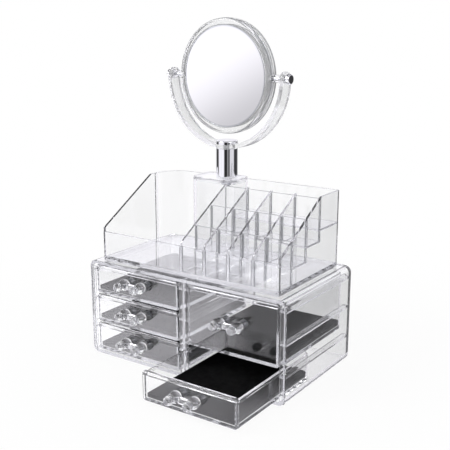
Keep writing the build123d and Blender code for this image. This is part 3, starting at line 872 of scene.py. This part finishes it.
@dataclass
class MirrorHead:
    """The yoke and the two-sided mirror that turns over in it."""

    clear: Names = ("pivot_spacers",)
    frames: Names = ("mirror_front_frame", "mirror_rear_frame")
    glass: Names = ("front_mirror", "rear_mirror")
    chrome: Names = ("pivot_caps",)
    steel: Names = ("pivot_pins",)
    pivot: Place = (-17.0 * MM, 40.05 * MM, 293.7 * MM)
    turn: float = -3.6
    smooth_angle: float = 0.6
    radius: float = 59.6 * MM
    thick: float = 13.0 * MM
    shoulder: float = 3.0 * MM
    shoulder_steps: int = 12
    ring_steps: int = 240
    glass_seat: float = 52.25 * MM
    seat_depth: float = 3.05 * MM
    web_radius: float = 44.0 * MM
    lip: float = 0.3 * MM
    line: float = 0.3 * MM
    line_angle: float = 0.7
    line_steps: int = 10
    spacer_radius: float = 4.05 * MM
    spacer_seat: float = 4.0 * MM
    yoke_radius: float = 72.9 * MM
    yoke_thick: float = 4.6 * MM
    yoke_breadth: float = 14.5 * MM
    yoke_edge: float = 0.7 * MM
    yoke_steps: int = 200
    yoke_rows: int = 6
    arm_end: float = 0.02 * MM
    foot_radius: float = 11.5 * MM
    rod_hole: float = 3.05 * MM
    pin_hole: float = 1.55 * MM

    def dress(self, dresser: Dresser) -> None:
        """Makes the smooth ring and yoke, and gives them and the glasses their finishes."""
        dresser.dress_nodes(self.clear, CRYSTAL_CLEAR)
        dresser.dress(self.turn_ring(), MIRROR_CLEAR)
        dresser.dress(self.draw_lines(), RING_SHADE_LINE)
        self.bend_yoke(dresser)
        dresser.dress_nodes(self.chrome, CHROME)
        dresser.dress_nodes(self.steel, STEEL)
        for name in self.glass:
            low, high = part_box(name)
            silver = SilveredFinish(f"{name}_silver", tuple((low + high) / 2), (high.z - low.z) / 2)
            dresser.dress_nodes((name,), silver)

    def shoulder_point(self, angle: float) -> Span:
        """A point of the ring's round outside, as distances from the mirror's middle and along its axis."""
        out = self.radius - self.shoulder + self.shoulder * math.cos(angle)
        return out, self.thick / 2 * math.sin(angle)

    def ring_outline(self) -> List[Span]:
        """The ring's section, as distances from the mirror's middle and along its axis."""
        half = self.thick / 2
        seat = half - self.seat_depth
        points = [(self.web_radius, -seat), (self.glass_seat, -seat), (self.glass_seat, self.lip - half)]
        points.append((self.glass_seat + self.lip, -half))
        for step in range(-self.shoulder_steps, self.shoulder_steps + 1):
            points.append(self.shoulder_point(step / self.shoulder_steps * math.pi / 2))
        points += [(self.glass_seat + self.lip, half), (self.glass_seat, half - self.lip)]
        return points + [(self.glass_seat, seat), (self.web_radius, seat)]

    def to_pivot(self, piece: Piece, name: str, body: Body) -> Piece:
        """Turns a piece into the yoke's direction, puts it on the pivot and lets it ride.

        Args:
            piece: the piece, modelled round the origin.
            name: its name.
            body: the body it rides on.

        Returns:
            The same piece.
        """
        piece.name = name
        piece.data.name = name
        piece.rotation_euler = (0.0, 0.0, math.radians(self.turn))
        piece.location = self.pivot
        settle(piece)
        set_mode("EDIT")
        bpy.ops.mesh.select_all(action="SELECT")
        bpy.ops.mesh.remove_doubles(threshold=TOUCH)
        bpy.ops.mesh.normals_make_consistent(inside=False)
        set_mode("OBJECT")
        bpy.ops.object.shade_smooth_by_angle(angle=self.smooth_angle)
        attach(piece, body.value)
        return piece

    def turn_ring(self) -> Piece:
        """Turns the two cemented halves of the clear frame as one smooth ring.

        Returns:
            The ring, riding on the mirror.
        """
        outline = self.ring_outline()
        deselect()
        bpy.ops.mesh.primitive_circle_add(vertices=len(outline), radius=1.0, fill_type="NOTHING")
        ring = bpy.context.active_object
        for point, (out, along) in zip(ring.data.vertices, outline):
            point.co = (out, along, 0.0)
        steps = {"steps": self.ring_steps, "render_steps": self.ring_steps}
        add_modifier(ring, "SCREW", axis="Y", angle=math.tau, use_merge_vertices=True, **steps)
        for side in (-1, 1):
            seat = side * (self.radius - self.spacer_seat + self.radius / 2)
            cut(ring, cylinder(self.spacer_radius, self.radius, (seat, 0.0, 0.0), True))
        self.to_pivot(ring, "mirror_ring", Body.MIRROR)
        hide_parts(*self.frames)
        return ring

    def draw_lines(self) -> Piece:
        """Makes fine dark lines of painted shade round the ring's lips and shoulders, where the clear ring's edges
        look dark.

        Returns:
            The lines, riding on the mirror.
        """
        lip = (self.glass_seat + self.line, self.thick / 2)
        made: List[Piece] = []
        for out, along in (lip, self.shoulder_point(self.line_angle)):
            for side in (-1, 1):
                deselect()
                bpy.ops.mesh.primitive_torus_add(
                    major_radius=out, major_segments=self.ring_steps,
                    minor_radius=self.line, minor_segments=self.line_steps,
                    location=(0.0, side * along, 0.0), rotation=(math.pi / 2, 0.0, 0.0),
                )
                made.append(bpy.context.active_object)
        return self.to_pivot(merge(made), "mirror_mould_lines", Body.MIRROR)

    def bend_yoke(self, dresser: Dresser) -> None:
        """Bends a flat strip to the yoke's half circle, with round arm ends and a foot, riding on its own body.

        Args:
            dresser: gives the band its finish and its bevelled edges a grey painted shade.
        """
        arm = self.yoke_breadth / 2 - self.arm_end
        bend = math.pi * self.yoke_radius
        total = bend + 2 * arm
        deselect()
        bpy.ops.mesh.primitive_grid_add(x_subdivisions=self.yoke_steps, y_subdivisions=self.yoke_rows, size=1.0)
        strip = bpy.context.active_object
        for point in strip.data.vertices:
            run = abs(point.co.x) * total
            angle = min(run, bend / 2) / self.yoke_radius
            rise = max(run - bend / 2, 0.0)
            breadth = 2 * math.sqrt((self.yoke_breadth / 2) ** 2 - rise**2)
            side = math.copysign(self.yoke_radius * math.sin(angle), point.co.x)
            point.co = (side, point.co.y * breadth, rise - self.yoke_radius * math.cos(angle))
        add_modifier(strip, "SOLIDIFY", thickness=self.yoke_thick, offset=0.0, use_even_offset=True)
        dresser.lay_out(strip, YOKE_CLEAR, YOKE_EDGE_SHADE)
        # The bevelled edges take the grey painted shade.
        soften(strip, self.yoke_edge, material=1)
        base = -self.yoke_radius
        cut(strip, cylinder(self.foot_radius, self.yoke_thick, (0.0, 0.0, base), False), "UNION")
        cut(strip, cylinder(self.foot_radius, self.yoke_thick, (0.0, 0.0, base + self.yoke_thick), False))
        cut(strip, cylinder(self.rod_hole, 4 * self.yoke_thick, (0.0, 0.0, base), False))
        cut(strip, cylinder(self.pin_hole, 4 * self.yoke_radius, (0.0, 0.0, 0.0), True))
        self.to_pivot(strip, "mirror_yoke", Body.YOKE)
        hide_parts("yoke")


class RoomBoard(NodeBoard):
    """A board on the world's tree that knows the direction looked at."""

    def __init__(self, tree: Tree) -> None:
        """Finds the turn round the room from 0 to 1, and the height above the horizon in radians.

        Args:
            tree: the world's node tree.
        """
        super().__init__(tree)
        split = self.add("ShaderNodeSeparateXYZ")
        self.join(self.add("ShaderNodeTexCoord").outputs["Generated"], split.inputs[0])
        angle = self.maths("ARCTAN2", split.outputs["Y"], split.outputs["X"])
        front = math.atan2(-math.cos(math.radians(CAMERA_TURN)), math.sin(math.radians(CAMERA_TURN)))
        self.share = self.maths("FRACT", self.maths("MULTIPLY_ADD", angle, 1 / math.tau, 0.5 - front / math.tau))
        self.rise = self.maths("ARCSINE", split.outputs["Z"])

    def turn_from(self, turn: float) -> Socket:
        """The turn in degrees, counted from a given turn."""
        return self.maths("MULTIPLY_ADD", self.share, FULL_TURN, -FULL_TURN / 2 - turn)

    def by_height(self, heights: Span, *levels: float) -> Socket:
        """Maps the height smoothly between two heights in degrees, to 0 and 1 or to other levels."""
        return self.spread(self.rise, (math.radians(heights[0]), math.radians(heights[1])), *levels)

    def bands(self, levels: Tuple[Band, ...]) -> Socket:
        """Bands of brightness round the room.

        Args:
            levels: the turns where each band starts and ends, and its brightness.

        Returns:
            The brightness.
        """
        ramp = self.wire(self.add("ShaderNodeValToRGB"), Fac=self.share)
        stops = [(turn, level) for start, end, level in levels for turn in (start, end)]
        points = ramp.color_ramp.elements
        while len(points) < len(stops):
            points.new(0.5)
        for point, (turn, level) in zip(points, stops):
            point.position = turn / FULL_TURN + 0.5
            point.color = opaque((level, level, level))
        return ramp.outputs["Color"]


@dataclass(frozen=True)
class SoftBox:
    """A square lamp that faces the object, with its place and side in metres and its power in watts."""

    name: str
    place: Place
    size: float
    power: float


@dataclass
class Studio:
    """A white room with soft boxes, a pale floor and the lamps.

    Turns are in degrees from the camera's side, heights in degrees above the horizon and drops in degrees below it.
    """

    lamps: Tuple[SoftBox, ...] = (
        SoftBox("key_box", (-0.95, -1.25, 1.25), 1.0, 16.0),
        SoftBox("fill_box", (1.35, -0.55, 0.95), 0.8, 6.0),
    )
    lamp_target: Place = (0.0, 0.0, 0.12)
    floor_radius: float = 1.6
    floor_height: float = -0.2 * MM
    floor_tone: Colour = (0.9, 0.9, 0.9)
    shadow_span: Span = (0.1, 0.5)
    shadow_level: float = 0.93
    ambient: float = 0.62
    cool: Colour = (1.0, 0.985, 1.045)
    dark: float = 0.05
    rear: float = 0.45
    left_box: float = 1.05
    left_gap: float = 0.03
    front_box: float = 0.3
    right_gap: float = 0.04
    right_box: float = 0.8
    card: float = 0.18
    room: float = 0.5
    room_turn: float = 6.0
    room_side: Span = (58.0, 64.0)
    room_heights: Span = (40.0, 25.0)
    face_heights: Span = (10.4, 3.5)
    inner_heights: Span = (-8.5, -13.5)
    floor_heights: Span = (-28.0, -25.0)
    wall_gain: float = 1.1
    wall_side: Span = (120.0, 150.0)
    ceiling: float = 0.85
    ceiling_start: Span = (25.0, 31.0)
    ceiling_end: Span = (58.0, 66.0)
    fade_turn: float = -77.9
    fade_slant: float = 0.65
    fade_span: Span = (3.2, 9.4)
    fade_depth: float = 0.42
    fade_drops: Span = (7.6, 8.4)
    fade_side: Span = (7.0, 12.0)
    box_gain: float = 3.3
    box_left: Span = (-100.0, -92.0)
    box_right: Span = (-69.6, -66.2)
    box_top: Span = (15.5, 20.5)
    box_foot: Span = (22.5, 26.5)
    box_foot_level: float = 0.2

    def build(self) -> None:
        """Makes the world, floor and lamps."""
        self.make_world()
        self.make_floor()
        for lamp in self.lamps:
            self.add_lamp(lamp)

    def seen_bands(self, room: RoomBoard, inside: bool) -> Socket:
        """The soft boxes and dark gaps round the room.

        Args:
            room: the world's board.
            inside: True for light that comes back from inside the clear parts, False for polished faces.

        Returns:
            The brightness in the direction looked at.
        """
        faces = (
            (-180, -144, self.rear), (-134, -103, self.dark), (-95, -34, self.left_box),
            (-27, 0, self.left_gap), (4, 14, self.front_box), (18, 26, self.right_gap),
            (33, 76, self.right_box), (83, 134, self.dark), (144, 180, self.rear),
        )
        depths = ((-180, -52, 1.0), (-44, 56, self.room), (66, 98, 1.0), (104, 124, self.card), (130, 180, 1.0))
        level = room.bands(depths if inside else faces)
        lowness = room.by_height(self.inner_heights if inside else self.face_heights)
        if inside:
            aside = room.maths("ABSOLUTE", room.turn_from(self.room_turn))
            before = room.spread(aside, self.room_side, 1.0, 0.0)
            lowness = room.maths("MAXIMUM", lowness, room.times(room.by_height(self.room_heights), before))
        lowness = room.times(lowness, room.by_height(self.floor_heights))
        banded = room.maths("MULTIPLY_ADD", room.maths("SUBTRACT", level, 1.0), lowness, 1.0)
        behind = room.maths("ABSOLUTE", room.turn_from(0.0))
        gain = room.spread(behind, self.wall_side, 0.0, self.wall_gain - 1.0)
        wall = room.times(gain, room.maths("SUBTRACT", 1.0, lowness))
        lit = room.times(banded, room.maths("ADD", wall, 1.0))
        if not inside:
            over = room.by_height(self.ceiling_start, 0.0, self.ceiling)
            gap = room.times(over, room.by_height(self.ceiling_end, 1.0, 0.0))
            lit = room.times(lit, room.maths("SUBTRACT", 1.0, gap))
        return self.with_fade(room, lit)

    def with_fade(self, room: RoomBoard, level: Socket) -> Socket:
        """Darkens the lower edge of the left soft box towards the floor, and lights the box below it.

        Args:
            room: the world's board.
            level: the brightness before the fade.

        Returns:
            The brightness with the fade and the lower box.
        """
        turn = room.turn_from(self.fade_turn)
        drop = room.times(room.rise, -math.degrees(1.0))
        slant = room.maths("MULTIPLY_ADD", turn, self.fade_slant, drop)
        amount = room.spread(slant, self.fade_span, 0.0, self.fade_depth)
        above_floor = room.spread(drop, self.fade_drops, 1.0, 0.0)
        beside = room.spread(room.maths("ABSOLUTE", turn), self.fade_side, 1.0, 0.0)
        masked = room.times(amount, above_floor, beside)
        faded = room.times(level, room.maths("SUBTRACT", 1.0, masked))
        side = room.turn_from(0.0)
        across = room.times(room.spread(side, self.box_left), room.spread(side, self.box_right, 1.0, 0.0))
        foot = room.spread(drop, self.box_foot, 1.0, self.box_foot_level)
        along = room.times(room.spread(drop, self.box_top), foot)
        glow = room.times(across, along, self.box_gain - 1.0)
        return room.times(faded, room.maths("ADD", glow, 1.0))

    def make_world(self) -> None:
        """Makes the world: white to the eye and through clear parts, banded to polished faces and inner ones."""
        world = bpy.data.worlds.new("white_studio")
        board = RoomBoard(empty_tree(world))
        path = board.add("ShaderNodeLightPath")
        light, faces, depths, white = (board.add("ShaderNodeBackground") for _ in range(4))
        light.inputs["Strength"].default_value = self.ambient
        for layer, inside in ((faces, False), (depths, True)):
            tint = board.add("ShaderNodeVectorMath", operation="SCALE")
            tint.inputs[0].default_value = self.cool
            board.join(self.seen_bands(board, inside), tint.inputs["Scale"])
            board.join(tint.outputs["Vector"], layer.inputs["Color"])
        for layer in (light, white):
            layer.inputs["Color"].default_value = opaque((1.0, 1.0, 1.0))
        turned_back = board.maths("GREATER_THAN", path.outputs["Glossy Depth"], 0.5)
        through = path.outputs["Is Transmission Ray"]
        from_inside = board.times(through, turned_back)
        straight = board.maths("SUBTRACT", through, from_inside)
        seen = board.maths("MAXIMUM", path.outputs["Is Camera Ray"], straight)
        shade = light.outputs[0]
        for share, layer in ((path.outputs["Is Glossy Ray"], faces), (from_inside, depths), (seen, white)):
            shade = board.overlay(share, shade, layer.outputs[0])
        board.join(shade, board.add("ShaderNodeOutputWorld").inputs["Surface"])
        bpy.context.scene.world = world

    def make_floor(self) -> None:
        """Makes the pale floor, white to the eye with a faint shadow near the object."""
        deselect()
        bpy.ops.mesh.primitive_circle_add(vertices=ROUND_STEPS, radius=self.floor_radius, fill_type="NGON")
        floor = bpy.context.active_object
        floor.name = "floor"
        floor.location.z = self.floor_height
        material = bpy.data.materials.new("pale_floor")
        board = NodeBoard(empty_tree(material))
        matt = board.add("ShaderNodeBsdfDiffuse")
        matt.inputs["Color"].default_value = opaque(self.floor_tone)
        glow = board.add("ShaderNodeEmission")
        out = board.length(board.add("ShaderNodeTexCoord").outputs["Object"])
        whitened = board.spread(out, self.shadow_span, self.shadow_level, 1.0)
        seen = board.add("ShaderNodeLightPath").outputs["Is Camera Ray"]
        shade = board.overlay(board.times(seen, whitened), matt.outputs[0], glow.outputs[0])
        board.join(shade, board.add("ShaderNodeOutputMaterial").inputs["Surface"])
        floor.data.materials.append(material)
        floor.visible_glossy = False
        floor.visible_transmission = False

    def add_lamp(self, box: SoftBox) -> None:
        """Adds one soft box to the scene."""
        data = bpy.data.lights.new(box.name, "AREA")
        data.shape = "SQUARE"
        data.size = box.size
        data.energy = box.power
        stand(data, box.place, Vector(self.lamp_target) - Vector(box.place))


@dataclass
class PhotoCamera:
    """The camera at the photograph's place."""

    eye: Place = (0.4583, -0.66098, 0.34753)
    turn: float = CAMERA_TURN
    rise: float = 14.16
    lens: float = 64.06
    sensor: float = 36.0
    nearest: float = 0.01

    def build(self) -> None:
        """Makes the camera and gives it to the scene."""
        turn, rise = math.radians(self.turn), math.radians(self.rise)
        back = Vector((math.sin(turn) * math.cos(rise), -math.cos(turn) * math.cos(rise), math.sin(rise)))
        data = bpy.data.cameras.new("photo_camera")
        data.lens = self.lens
        data.sensor_width = self.sensor
        data.clip_start = self.nearest
        bpy.context.scene.camera = stand(data, self.eye, -back)


@dataclass
class LightDepth:
    """How many faces a ray may pass, enough for the many clear walls in a row."""

    max_bounces: int = 64
    transmission_bounces: int = 64
    transparent_max_bounces: int = 64
    glossy_bounces: int = 48
    diffuse_bounces: int = 3

    def set(self) -> None:
        """Sets the limits on the scene."""
        for name, limit in vars(self).items():
            setattr(bpy.context.scene.cycles, name, limit)


def main() -> None:
    """Builds the looks of the organizer and its studio."""
    logging.basicConfig(level=logging.INFO, format="%(name)s: %(message)s")
    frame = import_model()
    bpy.context.scene.view_settings.view_transform = "Standard"
    LightDepth().set()
    PhotoCamera().build()
    Studio().build()
    dresser = Dresser(frame["nodes"])
    Casing().dress(dresser)
    for body in DRAWERS:
        Drawer(body).dress(dresser)
    CosmeticsTray().dress(dresser)
    LipstickTrim().build(dresser)
    MirrorStand().dress(dresser)
    MirrorHead().dress(dresser)


if __name__ == "__main__":
    main()
